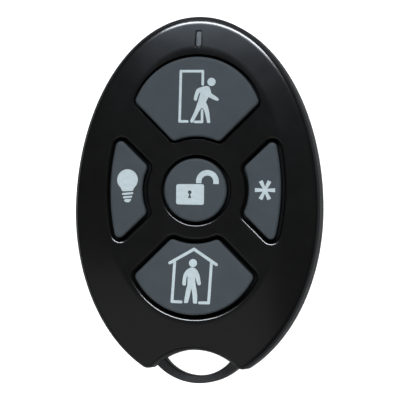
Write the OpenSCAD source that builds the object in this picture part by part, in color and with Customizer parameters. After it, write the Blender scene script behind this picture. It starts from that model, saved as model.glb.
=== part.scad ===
// Alarm key fob: two covers that close on a coin-cell radio board, five keys and a key-ring loop.
// The fob lies on its back: X is the width, +Y the lamp end, -Y the loop end, +Z the side with the keys.

/* [Body] */
// Overall width across the covers
body_w = 43.5; // [42:0.5:50]
// Overall length from the lamp end to the tip of the key-ring loop
body_l = 64.6; // [64:0.2:72]
// Distance of the widest station below the middle of the length
widest_drop = 1.8; // [1:0.1:3]
// Wall thickness of both covers
wall = 1.6; // [1.3:0.1:1.8]
// Radius that rounds the edge of the back
back_round = 5; // [4:0.1:5.4]
// Height of the domed front from its rim to its virtual top
dome_h = 2.6; // [2:0.1:3]
// Radius between the domed front and the side
edge_round = 0.8; // [0.5:0.1:1.2]
// Bevel on both sides of the seam between the covers
seam_bevel = 0.25; // [0.1:0.05:0.4]
// Height of the lip that the rear cover puts inside the front cover
lip_h = 1; // [0.6:0.1:1.4]
// Play between the lip and the front cover
lip_gap = 0.1; // [0.05:0.05:0.2]

/* [Face] */
// Distance of the flat field that carries the keys from the side of the body
field_inset = 5.75; // [5:0.25:6.5]
// Slope of the flat field, falling towards the lamp end, in degrees
field_tilt = 0.8; // [0:0.1:1.2]
// Thickness of the front cover under the field, at the widest station
plate_t = 1.5; // [1.3:0.1:2]

/* [Keys] */
// Distance of the disarm key above the middle of the length
key_y = 1.7; // [1:0.1:2.6]
// Diameter of the round disarm key
disarm_d = 11.1; // [10:0.1:12.2]
// Radius of the hollow that the four outer keys leave round the disarm key
key_hollow_r = 9.4; // [9:0.1:9.8]
// Distance of the away key from the lamp end
away_inset = 7.2; // [6.4:0.2:8]
// Distance of the stay key from the hollow at the loop end
stay_inset = 6.1; // [5.9:0.1:6.9]
// Distance of the light and star keys from the sides of the body
side_inset = 6.65; // [5.95:0.1:7.35]
// Radius of the outer arc of the away and stay keys
end_arc_r = 11.6; // [11.2:0.2:13]
// Radius of the outer arc of the light and star keys
side_arc_r = 36; // [30:1:50]
// Half angle between the sides of the away and stay keys
end_half_angle = 45; // [44:0.5:46]
// Half angle between the sides of the light and star keys
side_half_angle = 44.2; // [43:0.2:45.4]
// Distance from the centre at which the sides of the away and stay keys would meet
end_apex = 4.4; // [4.1:0.1:4.8]
// Distance from the centre at which the sides of the light and star keys would meet
side_apex = 4.3; // [4:0.1:4.6]
// Radius of the outer corners of the outer keys
corner_out_r = 0.9; // [0.8:0.1:1.2]
// Radius of the inner corners of the outer keys
corner_in_r = 1; // [0.8:0.1:1.1]
// Height of the keys above the field
key_proud = 0.9; // [0.6:0.1:1.2]
// Radius on the upper edge of the keys
key_round = 0.45; // [0.2:0.05:0.6]
// Gap between a key and its hole
key_gap = 0.5; // [0.4:0.05:0.6]
// Width of the flange that keeps a key under the front cover
key_flange = 0.9; // [0.8:0.1:1.1]
// Travel of the keys
key_travel = 0.35; // [0.2:0.05:0.5]
// Diameter of the nib under a key
nib_d = 3; // [2.4:0.2:3.6]
// Thickness of the key flanges and of the silicone sheet round them
sheet_t = 0.8; // [0.6:0.1:1]
// Gap between a key flange and the sheet
sheet_gap = 0.3; // [0.2:0.05:0.4]
// Width of the sheet outside the key flanges
sheet_margin = 0.8; // [0.5:0.1:1.2]

/* [Lamp] */
// Width of the lamp window
window_w = 1.1; // [0.9:0.1:1.4]
// Length of the lamp window
window_l = 3; // [2.4:0.1:3.2]
// Distance of the lamp window from the lamp end
window_inset = 4; // [3.8:0.1:4.2]
// Flange of the light pipe under the front cover
pipe_flange = 0.5; // [0.3:0.1:0.7]
// Thickness of that flange
pipe_flange_t = 0.6; // [0.5:0.1:0.8]
// Play round the light pipe
pipe_gap = 0.05; // [0.03:0.01:0.08]

/* [Key-ring loop] */
// Radius of the hollow in the loop end of the covers
scallop_r = 10.6; // [10:0.2:11]
// Widening of that hollow from the seam to the back
scallop_flare = 1; // [0.4:0.1:1.2]
// Radius on the two lobes beside that hollow
lobe_r = 1.7; // [1.2:0.1:2]
// Clear opening at the middle of the loop
loop_open = 4.6; // [4:0.1:4.7]
// Width of the loop bar at its tip
loop_bar = 1.4; // [1.3:0.1:1.8]
// Outer radius of the loop bar
loop_out_r = 10.4; // [10:0.2:10.6]
// Inner radius of the loop bar
loop_in_r = 7.4; // [7.2:0.1:7.7]
// Thickness of the loop bar, along Z
loop_t = 3.4; // [2.6:0.2:4]
// Depth of the top of the loop bar below the seam
loop_drop = 0.4; // [0.2:0.1:0.8]
// Radius on the edges of the loop bar
loop_round = 0.4; // [0.2:0.05:0.5]

/* [Board and switches] */
// Thickness of the circuit board
board_t = 1; // [0.8:0.1:1.2]
// Gap between the circuit board and the covers
board_gap = 0.4; // [0.3:0.1:0.6]
// Diameter of the posts and ribs that hold the board
post_d = 1.6; // [1.4:0.1:1.8]
// Side of the square switches
switch_w = 4.6; // [4.4:0.1:5]
// Height of the switches above the board, with their metal cover
switch_h = 1.6; // [1.4:0.1:2]
// Thickness of the metal cover of the switches
switch_cover_t = 0.2; // [0.15:0.05:0.3]
// Diameter of the switch plungers
plunger_d = 2; // [1.8:0.1:2.2]
// Thickness of the switch domes
dome_t = 0.1; // [0.08:0.01:0.12]
// Width of the antenna loop on the board
antenna_w = 1; // [0.8:0.1:1.2]

/* [Cell] */
// Diameter of the coin cell
cell_d = 20; // [19:0.5:20]
// Height of the coin cell
cell_h = 3.2; // [2.5:0.1:3.4]
// Thickness of the two contacts of the cell
contact_t = 0.3; // [0.2:0.05:0.4]
// Width of the positive clip
clip_w = 5; // [4:0.5:6]

/* [Case screws] */
// Distance of the screws from the sides of the body
screw_side = 10.25; // [9.75:0.1:10.75]
// Distance of the screws from the tip of the loop
screw_inset = 10; // [9.5:0.1:10.5]
// Diameter of the screw shanks
screw_d = 2; // [1.8:0.1:2.2]
// Diameter of the screw heads
screw_head_d = 3.4; // [3.2:0.1:3.6]
// Height of the screw heads
screw_head_h = 1.3; // [1.1:0.1:1.5]

/* [Hidden] */
$fn = 180;
slack = 0.1;
half_w = body_w / 2;
widest_y = -widest_drop;
top_reach = body_l / 2 + widest_drop;
low_reach = body_l / 2 - widest_drop;
key_c = [0, key_y];
field_hw = half_w - field_inset;

// Heights of the stack, from the back to the face
clip_gap = 0.2;
cell_z = wall + clip_gap + contact_t;
board_z = cell_z + cell_h + contact_t;
board_top = board_z + board_t;
part_z = board_z + board_t / 2;
switch_top = board_top + switch_h;
plunger_spare = 0.5;
plunger_top = switch_top + key_travel + plunger_spare;
nib_h = 0.25;
sheet_z = plunger_top + nib_h;
sheet_top = sheet_z + sheet_t;
ceiling_gap = 0.1;
ceil_z = sheet_top + ceiling_gap;
shoulder = 0.9;
face_z = ceil_z + plate_t;

// Domed front: a circle in section, cut by the tilted field
dome_r = (half_w * half_w + dome_h * dome_h) / (2 * dome_h);
dome_top = face_z + dome_r - sqrt(dome_r * dome_r - field_hw * field_hw);
dome_c = dome_top - dome_r;
edge_x = half_w - edge_round;
edge_z = dome_c + sqrt(pow(dome_r - edge_round, 2) - pow(edge_x, 2));
dome_x = edge_x * dome_r / (dome_r - edge_round);
function field_at(y) = face_z - (y - widest_y) * tan(field_tilt);

// Loop end
loop_tip = -body_l / 2;
loop_in_tip = loop_tip + loop_bar;
scallop_top = loop_in_tip + loop_open;
scallop_c = [0, scallop_top - scallop_r];
loop_top = part_z - loop_drop;
loop_z = loop_top - loop_t;
function egg_at(t) = [half_w * cos(t), widest_y + low_reach * sin(t)];
function egg_in(t) = -[cos(t) / half_w, sin(t) / low_reach] / norm([cos(t) / half_w, sin(t) / low_reach]);
function lobe_at(t) = egg_at(t) + lobe_r * egg_in(t);
function lobe_miss(t) = norm(lobe_at(t) - scallop_c) - scallop_r - lobe_r;
function lobe_angle(lo, hi, n) =
    let (mid = (lo + hi) / 2)
    n == 0 ? mid : lobe_miss(mid) < 0 ? lobe_angle(mid, hi, n - 1) : lobe_angle(lo, mid, n - 1);
lobe_t = lobe_angle(-90, -45, 24);
lobe_c = lobe_at(lobe_t);

// Outer keys: [axis angle, reach from the centre of the disarm key, outer arc radius, half angle, apex]
away_reach = body_l / 2 - away_inset - key_y;
stay_reach = key_y - scallop_top - stay_inset;
side_reach = half_w - side_inset;
away_form = [90, away_reach, end_arc_r, end_half_angle, end_apex];
stay_form = [270, stay_reach, end_arc_r, end_half_angle, end_apex];
light_form = [180, side_reach, side_arc_r, side_half_angle, side_apex];
star_form = [0, side_reach, side_arc_r, side_half_angle, side_apex];
outer_forms = [away_form, stay_form, light_form, star_form];
arc_n = 16;
turn_n = 5;
off_tangent = 8;
edge_n = 4;
sheet_n = 120;
disarm_n = 72;

// Switch places: each below the middle of its key
function key_middle(f) = key_c + (f[1] + key_hollow_r) / 2 * [cos(f[0]), sin(f[0])];
away_at = key_middle(away_form);
stay_at = key_middle(stay_form);
light_at = key_middle(light_form);
star_at = key_middle(star_form);
switch_spots = [away_at, stay_at, key_c, light_at, star_at];
switch_base_h = switch_h - switch_cover_t;
switch_wall = 0.4;
switch_floor = 0.3;
well_d = switch_w - 2 * switch_wall;
dome_spare = 0.15;
dome_room = key_travel + dome_spare;
dome_seat = board_top + switch_floor;
dome_play = 0.25;
dome_w = well_d / 2 - dome_play;
dome_ball_r = (dome_w * dome_w + dome_room * dome_room) / (2 * dome_room);
plunger_foot = dome_seat + dome_room + dome_t;
plunger_rim = 0.3;
plunger_gap = 0.1;

// Board posts stand in the bars between the keys
post_out = 11.4;
post_spots = [for (a = [45, 135, 225, 315]) key_c + post_out * [cos(a), sin(a)]];
post_play = 0.15;
rib_clear = 4;
rib_x = cell_d / 2 + rib_clear;
rib_y = 13;
rib_spots = [for (x = [-rib_x, rib_x], y = [-rib_y, rib_y]) [x, y]];
cradle_play = 0.2;
cradle_r = cell_d / 2 + contact_t + cradle_play;
cradle_t = 0.8;
clip_play = 0.05;
clip_slot = 0.5;
clip_foot = 1.2;

// Coin cell: the cap stands in the can on a ring of seal
cap_top = cell_z + cell_h;
cap_h = 0.8;
cap_inset = 1.4;
cap_z = cap_top - cap_h;
cap_d = cell_d - 2 * cap_inset;
seal_t = 0.4;
can_drop = 0.3;

// Lamp: the stem of the light pipe stands clear of the sheet and above the lamp on the board
lamp_y = body_l / 2 - window_inset;
sheet_rim = key_flange + sheet_gap + sheet_margin;
stem_low = max(lamp_y - window_l / 2 + pipe_gap, key_y + away_reach + sheet_rim + sheet_gap);
stem_high = lamp_y + window_l / 2 - pipe_gap;
stem_c = [0, (stem_low + stem_high) / 2];
lamp_size = [1.6, 0.8, 0.7];
lamp_gap = 0.2;
pipe_seat = ceil_z - shoulder / 2;

// Pieces on the board: [place on the plan, size]
chip_gap = 2;
chip_y = away_at[1] - chip_gap / 2;
radio_form = [[switch_w + chip_gap, chip_y], [4, 4, 0.9]];
crystal_form = [[-switch_w - chip_gap, chip_y], [3.2, 2.5, 0.8]];
capacitor_size = [1, 0.5, 0.5];
capacitor_spots = [for (side = [-1, 1], step = [1, 2]) [side * switch_w * step / 1.5, chip_y + chip_gap * 2]];
resistor_size = [1, 0.5, 0.35];
resistor_x = switch_w + chip_gap;
resistor_spots = [for (side = [-1, 1], step = [1, 2]) [side * resistor_x, stay_at[1] + chip_gap * step]];
antenna_t = 0.1;
antenna_inset = body_l / 2 - wall - board_gap - stem_c[1] + lamp_size[1] / 2 + lamp_gap;

// Screws: the head sits in the back, the thread holds in a boss of the front cover
screw_x = half_w - screw_side;
screw_y = loop_tip + screw_inset;
screw_spots = [[-screw_x, screw_y], [screw_x, screw_y]];
boss_wall = 1.1;
boss_r = screw_d / 2 + boss_wall;
tower_wall = 0.9;
tower_r = screw_head_d / 2 + tower_wall;
head_play = 0.2;
head_seat = 2.2;
tip_short = 0.6;
screw_tip = ceil_z - tip_short;
board_low = screw_y + tower_r + board_gap;

// Turns the half profile below it about Z and stretches it to the egg outline of the body.
module egg_turn(inset = 0) {
    turn_r = half_w - inset;
    translate([0, widest_y, 0]) {
        scale([1, (top_reach - inset) / turn_r, 1])
            rotate_extrude(angle = 180)
                children();
        scale([1, (low_reach - inset) / turn_r, 1])
            rotate([0, 0, 180])
                rotate_extrude(angle = 180)
                    children();
    }
}

// Upright plate with the egg outline, moved inwards by inset.
module egg_plate(inset, z0, z1) {
    egg_turn(inset)
        translate([0, z0])
            square([half_w - inset, z1 - z0]);
}

// Upright round bar at a place on the plan.
module bar(at, d, z0, z1) {
    translate([at[0], at[1], z0])
        cylinder(d = d, h = z1 - z0);
}

// Box centred on a place on the plan.
module block(at, size, z0) {
    translate([at[0] - size[0] / 2, at[1] - size[1] / 2, z0])
        cube(size);
}

// Hollow at the loop end, grown by a wall thickness.
module scallop(grow, z0, z1) {
    bar(scallop_c, 2 * (scallop_r + grow), z0, z1);
}

// The same hollow in the rear cover, where it widens towards the back.
module rear_scallop(grow) {
    wide = scallop_r + scallop_flare + grow;
    bar(scallop_c, 2 * wide, -slack, 0);
    translate([scallop_c[0], scallop_c[1], 0])
        cylinder(r1 = wide, r2 = scallop_r + grow, h = part_z);
    scallop(grow, part_z, part_z + slack);
}

// Points on an arc, both ends included.
function arc(c, r, from, to, n) =
    [for (i = [0:n]) let (a = from + (to - from) * i / n) c + r * [cos(a), sin(a)]];

// Slivers that round the two lobes beside the hollow; they leave the walls a little off the tangent.
module lobe_slivers(z0, z1) {
    a_scallop = atan2(scallop_c[1] - lobe_c[1], scallop_c[0] - lobe_c[0]);
    a_egg = atan2(egg_at(lobe_t)[1] - lobe_c[1], egg_at(lobe_t)[0] - lobe_c[0]);
    a0 = a_scallop + off_tangent;
    a1 = a_egg - off_tangent;
    line = arc(lobe_c, lobe_r, a0, a1, turn_n);
    start = line[0] + lobe_r * [sin(a0), -cos(a0)];
    end = line[turn_n] + lobe_r * [-sin(a1), cos(a1)];
    tip = lobe_c + 2 * lobe_r * ([cos(a_scallop), sin(a_scallop)] + [cos(a_egg), sin(a_egg)]);
    for (side = [0, 1])
        mirror([side, 0, 0])
            translate([0, 0, z0])
                linear_extrude(z1 - z0)
                    polygon(concat([start], line, [end, tip]));
}

// Point of a ray that lies at distance r from c.
function along(from, dir, c, r) =
    let (q = from - c, m = q * dir)
    from + dir * (sqrt(m * m - q * q + r * r) - m);

// Outer key seen along its axis: sides, middle of the outer arc, middles of the two right-hand corners.
function side_dir(f) = [sin(f[3]), cos(f[3])];
function side_in(f) = [-cos(f[3]), sin(f[3])];
function arc_mid(f) = [0, f[1] - f[2]];
function out_mid(f) =
    along([0, f[4]] + corner_out_r * side_in(f), side_dir(f), arc_mid(f), f[2] - corner_out_r);
function in_mid(f) =
    along([0, f[4]] + corner_in_r * side_in(f), side_dir(f), [0, 0], key_hollow_r + corner_in_r);

// Outer key as a ring of points, grown by a distance; every ring of one key has the same count.
function key_ring(f, grow) =
    let (
        a_out = atan2(out_mid(f)[1] - arc_mid(f)[1], out_mid(f)[0]),
        a_in = atan2(in_mid(f)[1], in_mid(f)[0]),
        right = concat(
            arc(in_mid(f), corner_in_r + grow, a_in - 180, -f[3], turn_n),
            arc(out_mid(f), corner_out_r + grow, -f[3], a_out, turn_n)
        ),
        left = [for (i = [len(right) - 1:-1:0]) [-right[i][0], right[i][1]]],
        top = arc(arc_mid(f), f[2] + grow, a_out, 180 - a_out, arc_n),
        low = arc([0, 0], key_hollow_r - grow, 180 - a_in, a_in, arc_n),
        ring = concat(right, [for (i = [1:arc_n - 1]) top[i]], left, [for (i = [1:arc_n - 1]) low[i]]),
        s = sin(f[0] - 90),
        c = cos(f[0] - 90)
    )
    [for (p = ring) key_c + [c * p[0] - s * p[1], s * p[0] + c * p[1]]];
function disarm_ring(grow) =
    [for (i = [0:disarm_n - 1])
        let (a = 360 * i / disarm_n)
        key_c + (disarm_d / 2 + grow) * [cos(a), sin(a)]];
function lift(ring, z) = [for (p = ring) [p[0], p[1], z]];
function lift_field(ring, rise) = [for (p = ring) [p[0], p[1], field_at(p[1]) + rise]];

// Point of a list that lies furthest in a direction.
function furthest(points, dir) =
    let (reach = [for (p = points) p * dir])
    points[search(max(reach), reach)[0]];

// Solid through a stack of rings that have the same count of points.
module loft(rings) {
    n = len(rings[0]);
    last = len(rings) - 1;
    polyhedron(
        points = [for (r = rings, p = r) p],
        faces = concat(
            [[for (i = [0:n - 1]) i]],
            [for (k = [0:last - 1], i = [0:n - 1]) let (j = (i + 1) % n)
                [k * n + i, (k + 1) * n + i, (k + 1) * n + j]],
            [for (k = [0:last - 1], i = [0:n - 1]) let (j = (i + 1) % n)
                [k * n + i, (k + 1) * n + j, k * n + j]],
            [[for (i = [n - 1:-1:0]) last * n + i]]
        )
    );
}

// Key: flange under the cover, column through the hole, rounded top, nib on its switch.
module key(ring, at) {
    loft(concat(
        [lift(ring(key_flange), sheet_z), lift(ring(key_flange), sheet_top), lift(ring(0), sheet_top)],
        [for (i = [0:edge_n]) let (a = 90 * i / edge_n)
            lift_field(ring(key_round * (cos(a) - 1)), key_proud - key_round * (1 - sin(a)))]
    ));
    bar(at, nib_d, plunger_top, sheet_z + slack);
}

// Domed front in section: dome, rounded edge, side and seam bevel.
module front_profile() {
    intersection() {
        translate([0, dome_c])
            circle(dome_r);
        translate([0, part_z])
            square([dome_x, dome_top]);
    }
    translate([edge_x, edge_z])
        circle(edge_round);
    polygon([
        [0, part_z], [half_w - seam_bevel, part_z], [half_w, part_z + seam_bevel],
        [half_w, edge_z], [0, edge_z]
    ]);
}

// Half section of a tub whose lower outer corner is round.
module tub_profile(w, z0, z1, r) {
    translate([0, z0])
        square([w - r, z1 - z0]);
    intersection() {
        translate([w - r, z0 + r])
            circle(r);
        translate([0, z0])
            square([w, z1 - z0]);
    }
    translate([0, z0 + r])
        square([w, z1 - z0 - r]);
}

module front_cover() {
    color("#17181a")
        difference() {
            egg_turn()
                front_profile();
            difference() {
                egg_turn(wall)
                    polygon([
                        [0, part_z - slack], [half_w - wall, part_z - slack],
                        [half_w - wall, ceil_z - shoulder], [half_w - wall - shoulder, ceil_z], [0, ceil_z]
                    ]);
                scallop(wall, 0, dome_top);
                for (p = post_spots)
                    bar(p, post_d, board_top, dome_top);
                for (p = screw_spots)
                    bar(p, 2 * boss_r, part_z, dome_top);
            }
            difference() {
                egg_plate(wall / 2, part_z - slack, part_z + lip_h + lip_gap);
                scallop(wall / 2, 0, dome_top);
                difference() {
                    egg_plate(wall + slack, 0, dome_top);
                    scallop(wall + slack, 0, dome_top);
                }
            }
            scallop(0, 0, dome_top);
            lobe_slivers(0, dome_top);
            translate([0, widest_y, face_z])
                rotate([-field_tilt, 0, 0])
                    translate([-half_w, -body_l, 0])
                        cube([body_w, 2 * body_l, dome_top]);
            for (f = outer_forms)
                translate([0, 0, ceil_z - slack])
                    linear_extrude(dome_top - ceil_z)
                        polygon(key_ring(f, key_gap));
            bar(key_c, disarm_d + 2 * key_gap, ceil_z - slack, dome_top);
            block([0, lamp_y], [window_w, window_l, dome_top], ceil_z - shoulder);
            block(stem_c, pipe_flange_size(2 * pipe_gap, pipe_seat - part_z), part_z);
            for (p = screw_spots)
                bar(p, screw_d, part_z - slack, screw_tip + 2 * slack);
        }
}

module rear_cover() {
    color("#3b3c3e") {
        difference() {
            egg_turn()
                difference() {
                    tub_profile(half_w, -slack, part_z, back_round + slack);
                    translate([half_w, part_z])
                        rotate(45)
                            square(seam_bevel * sqrt(2), center = true);
                }
            difference() {
                egg_turn(wall)
                    tub_profile(half_w - wall, wall, part_z + slack, back_round - wall);
                rear_scallop(wall);
                for (p = screw_spots)
                    bar(p, 2 * tower_r, 0, part_z);
                for (p = rib_spots)
                    bar(p, 2 * post_d, 0, board_z);
                difference() {
                    bar(key_c, 2 * (cradle_r + cradle_t), 0, cell_z + cell_h / 2);
                    bar(key_c, 2 * cradle_r, 0, board_z);
                    block(key_c, [body_w, clip_w + 2 * clip_slot, board_z], 0);
                }
            }
            rear_scallop(0);
            lobe_slivers(-slack, part_z + slack);
            block([0, 0], [body_w, 2 * body_l, 2 * slack], -2 * slack);
            for (p = screw_spots) {
                bar(p, screw_d + head_play, 0, part_z + slack);
                bar(p, screw_head_d + head_play, -slack, head_seat);
            }
        }
        lip();
        loop();
    }
}

// Lip on the rear cover, half a wall thick, that goes inside the front cover.
module lip() {
    difference() {
        egg_plate(wall / 2 + lip_gap, part_z - slack, part_z + lip_h);
        difference() {
            egg_plate(wall, part_z - 2 * slack, part_z + lip_h + slack);
            scallop(wall, 0, dome_top);
        }
        scallop(wall / 2 + lip_gap, 0, dome_top);
    }
}

// Key-ring loop: a bar between two arcs, with rounded edges, whose ends run into the wall of the hollow.
module loop() {
    intersection() {
        difference() {
            translate([0, loop_tip + loop_out_r, 0])
                rotate_extrude()
                    round_bar_profile(loop_out_r);
            translate([0, loop_in_tip + loop_in_r, 0])
                rotate_extrude()
                    loop_hole_profile();
        }
        scallop((wall + scallop_flare) / 2, loop_z, loop_top);
    }
}

module round_bar_profile(r) {
    translate([0, loop_z])
        square([r - loop_round, loop_t]);
    translate([0, loop_z + loop_round])
        square([r, loop_t - 2 * loop_round]);
    for (z = [loop_z + loop_round, loop_top - loop_round])
        translate([r - loop_round, z])
            circle(loop_round);
}

module loop_hole_profile() {
    difference() {
        translate([0, loop_z - slack])
            square([loop_in_r + loop_round, loop_t + 2 * slack]);
        translate([loop_in_r, loop_z + loop_round])
            square([loop_bar, loop_t - 2 * loop_round]);
        for (z = [loop_z + loop_round, loop_top - loop_round])
            translate([loop_in_r + loop_round, z])
                circle(loop_round);
    }
}

// Flange of the light pipe, with the play round it.
function pipe_flange_size(play, h) =
    [window_w + 2 * pipe_flange + play, stem_high - stem_low + play, h];

// Light pipe: a bar flush with the dome, a stem down to the lamp and a flange under the cover.
module light_pipe() {
    bar_w = window_w - 2 * pipe_gap;
    bar_l = window_l - 2 * pipe_gap;
    stem_z = board_top + lamp_size[2] + lamp_gap;
    color("#9aa0a3")
        intersection() {
            union() {
                block([0, lamp_y], [bar_w, bar_l, dome_top - ceil_z], ceil_z);
                block(stem_c, [bar_w, stem_high - stem_low, dome_top - stem_z], stem_z);
                block(stem_c, pipe_flange_size(0, pipe_flange_t), pipe_seat - pipe_flange_t);
            }
            egg_turn()
                front_profile();
        }
}

module away_key() {
    color("#4b5054")
        key(function (grow) key_ring(away_form, grow), away_at);
}

module stay_key() {
    color("#4b5054")
        key(function (grow) key_ring(stay_form, grow), stay_at);
}

module light_key() {
    color("#4b5054")
        key(function (grow) key_ring(light_form, grow), light_at);
}

module star_key() {
    color("#4b5054")
        key(function (grow) key_ring(star_form, grow), star_at);
}

module disarm_key() {
    color("#4b5054")
        key(function (grow) disarm_ring(grow), key_c);
}

// Silicone sheet: a web round all keys, with an opening for each key and a hole for each post.
module keypad_sheet() {
    grow = key_flange + sheet_gap;
    rims = [for (f = outer_forms, p = key_ring(f, sheet_rim)) p];
    line = [for (i = [0:sheet_n - 1]) let (a = 360 * i / sheet_n) furthest(rims, [cos(a), sin(a)])];
    outline = [for (i = [0:sheet_n - 1]) if (line[i] != line[(i + 1) % sheet_n]) line[i]];
    color("#3a3d40")
        difference() {
            translate([0, 0, sheet_z])
                linear_extrude(sheet_t)
                    polygon(outline);
            for (f = outer_forms)
                translate([0, 0, sheet_z - slack])
                    linear_extrude(sheet_t + 2 * slack)
                        polygon(key_ring(f, grow));
            bar(key_c, disarm_d + 2 * grow, sheet_z - slack, sheet_top + slack);
            for (p = post_spots)
                bar(p, post_d + 2 * post_play, sheet_z - slack, sheet_top + slack);
        }
}

// Plunger: a foot on the dome and a stem through the switch cover.
module plunger(at) {
    color("#d8d3c4") {
        bar(at, plunger_d + 2 * plunger_rim, plunger_foot, switch_top - switch_cover_t - plunger_gap);
        bar(at, plunger_d, plunger_foot, plunger_top);
    }
}

// Dome: a thin cap of a ball that stands on the switch base.
module dome(at) {
    color("#c9ccd0")
        translate([at[0], at[1], dome_seat + dome_room - dome_ball_r])
            difference() {
                sphere(dome_ball_r + dome_t);
                sphere(dome_ball_r);
                translate([0, 0, -dome_room - dome_ball_r])
                    cube(4 * dome_ball_r, center = true);
            }
}

module away_plunger() {
    plunger(away_at);
}

module stay_plunger() {
    plunger(stay_at);
}

module disarm_plunger() {
    plunger(key_c);
}

module light_plunger() {
    plunger(light_at);
}

module star_plunger() {
    plunger(star_at);
}

module away_dome() {
    dome(away_at);
}

module stay_dome() {
    dome(stay_at);
}

module disarm_dome() {
    dome(key_c);
}

module light_dome() {
    dome(light_at);
}

module star_dome() {
    dome(star_at);
}

module switch_bases() {
    color("#1f2022")
        for (p = switch_spots)
            difference() {
                block(p, [switch_w, switch_w, switch_base_h], board_top);
                bar(p, well_d, dome_seat, switch_top);
            }
}

module switch_covers() {
    color("#b8bbbe")
        for (p = switch_spots)
            difference() {
                block(p, [switch_w, switch_w, switch_cover_t], switch_top - switch_cover_t);
                bar(p, plunger_d + 2 * plunger_gap, board_top, plunger_top);
            }
}

module circuit_board() {
    color("#1d5a37")
        intersection() {
            egg_plate(wall + board_gap, board_z, board_top);
            translate([-half_w, board_low, 0])
                cube([body_w, body_l, plunger_top]);
        }
}

module antenna_loop() {
    edge = wall + board_gap + antenna_inset;
    color("#b87333")
        intersection() {
            difference() {
                egg_plate(edge, board_top, board_top + antenna_t);
                egg_plate(edge + antenna_w, board_z, switch_top);
            }
            translate([-half_w, board_low + antenna_inset, 0])
                cube([body_w, body_l, plunger_top]);
        }
}

module status_lamp() {
    color("#e9e4cf")
        block(stem_c, lamp_size, board_top);
}

module radio_chip() {
    color("#232426")
        block(radio_form[0], radio_form[1], board_top);
}

module crystal() {
    color("#c4c6c9")
        block(crystal_form[0], crystal_form[1], board_top);
}

module chip_capacitors() {
    color("#a58a64")
        for (p = capacitor_spots)
            block(p, capacitor_size, board_top);
}

module chip_resistors() {
    color("#2a2b2d")
        for (p = resistor_spots)
            block(p, resistor_size, board_top);
}

// Coin cell: the can is the positive pole and faces the back, the cap faces the board.
module cell_can() {
    color("#c8cacc")
        difference() {
            bar(key_c, cell_d, cell_z, cap_top - can_drop);
            bar(key_c, cap_d + 2 * seal_t, cap_z, cap_top);
        }
}

module cell_seal() {
    color("#2e3034")
        difference() {
            bar(key_c, cap_d + 2 * seal_t, cap_z, cap_top - can_drop + seal_t / 2);
            bar(key_c, cap_d, cell_z, cap_top);
        }
}

module cell_cap() {
    color("#d2d4d6")
        bar(key_c, cap_d, cap_z, cap_top);
}

// Positive clip: a strap under the cell with two legs that end on the board.
module positive_clip() {
    span = cell_d + 2 * contact_t + 2 * clip_play;
    color("#bfc2c4") {
        block(key_c, [span, clip_w, contact_t], wall + clip_gap);
        for (side = [-1, 1]) {
            block(key_c + [side * (span - contact_t) / 2, 0], [contact_t, clip_w, board_z - wall - clip_gap],
                wall + clip_gap);
            block(key_c + [side * (span + clip_foot) / 2, 0], [clip_foot, clip_w, contact_t],
                board_z - contact_t);
        }
    }
}

module negative_contact() {
    color("#c9b27a")
        bar(key_c, cell_d / 2, board_z - contact_t, board_z);
}

// Case screws: pan head in the back, shank up into the boss.
module case_screws() {
    color("#8d9093")
        for (p = screw_spots) {
            bar(p, screw_head_d, head_seat - screw_head_h, head_seat);
            bar(p, screw_d, head_seat, screw_tip);
        }
}

front_cover();
rear_cover();
light_pipe();
away_key();
stay_key();
disarm_key();
light_key();
star_key();
keypad_sheet();
away_plunger();
stay_plunger();
disarm_plunger();
light_plunger();
star_plunger();
away_dome();
stay_dome();
disarm_dome();
light_dome();
star_dome();
switch_bases();
switch_covers();
circuit_board();
antenna_loop();
status_lamp();
radio_chip();
crystal();
chip_capacitors();
chip_resistors();
cell_can();
cell_seal();
cell_cap();
positive_clip();
negative_contact();
case_screws();
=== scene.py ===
import math

import bmesh
import bpy
import numpy as np
from mathutils import Matrix, Vector, geometry


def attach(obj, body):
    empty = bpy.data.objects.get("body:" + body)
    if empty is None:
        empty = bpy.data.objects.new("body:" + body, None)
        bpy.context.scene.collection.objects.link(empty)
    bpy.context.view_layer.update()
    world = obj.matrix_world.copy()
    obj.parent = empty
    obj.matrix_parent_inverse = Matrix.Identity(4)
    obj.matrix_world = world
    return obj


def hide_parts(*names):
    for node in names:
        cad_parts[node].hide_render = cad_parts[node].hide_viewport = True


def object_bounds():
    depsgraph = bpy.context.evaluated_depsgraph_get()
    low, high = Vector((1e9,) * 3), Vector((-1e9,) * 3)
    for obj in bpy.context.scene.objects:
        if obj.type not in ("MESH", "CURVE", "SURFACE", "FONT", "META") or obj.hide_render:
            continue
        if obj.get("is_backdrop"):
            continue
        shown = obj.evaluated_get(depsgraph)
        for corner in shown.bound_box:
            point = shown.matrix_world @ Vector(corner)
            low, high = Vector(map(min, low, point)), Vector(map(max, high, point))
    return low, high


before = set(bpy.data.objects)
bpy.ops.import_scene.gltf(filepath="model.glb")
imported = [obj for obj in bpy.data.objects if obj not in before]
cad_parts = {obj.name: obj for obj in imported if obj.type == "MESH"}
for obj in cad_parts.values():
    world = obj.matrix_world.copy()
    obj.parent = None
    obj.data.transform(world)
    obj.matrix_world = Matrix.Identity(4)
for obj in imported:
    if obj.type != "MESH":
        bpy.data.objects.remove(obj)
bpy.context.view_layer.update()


# Rear cover: a moulded tub in dark grey ABS, with the key-ring loop moulded on its end.
# Its cavity in the mould is spark-eroded, so it comes out matt. Two screws hold it to the front cover.

MM = 0.001  # in metres; every other length in this file is in mm unless it says metres
NOISE_LOW, NOISE_HIGH = 0.3, 0.7  # nearly all of a noise pattern lies between these values


def linear(colour):
    """An sRGB hex colour as linear RGBA."""
    parts = [int(colour[i:i + 2], 16) / 255 for i in (1, 3, 5)]
    return [c / 12.92 if c <= 0.04045 else ((c + 0.055) / 1.055) ** 2.4 for c in parts] + [1.0]


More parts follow.
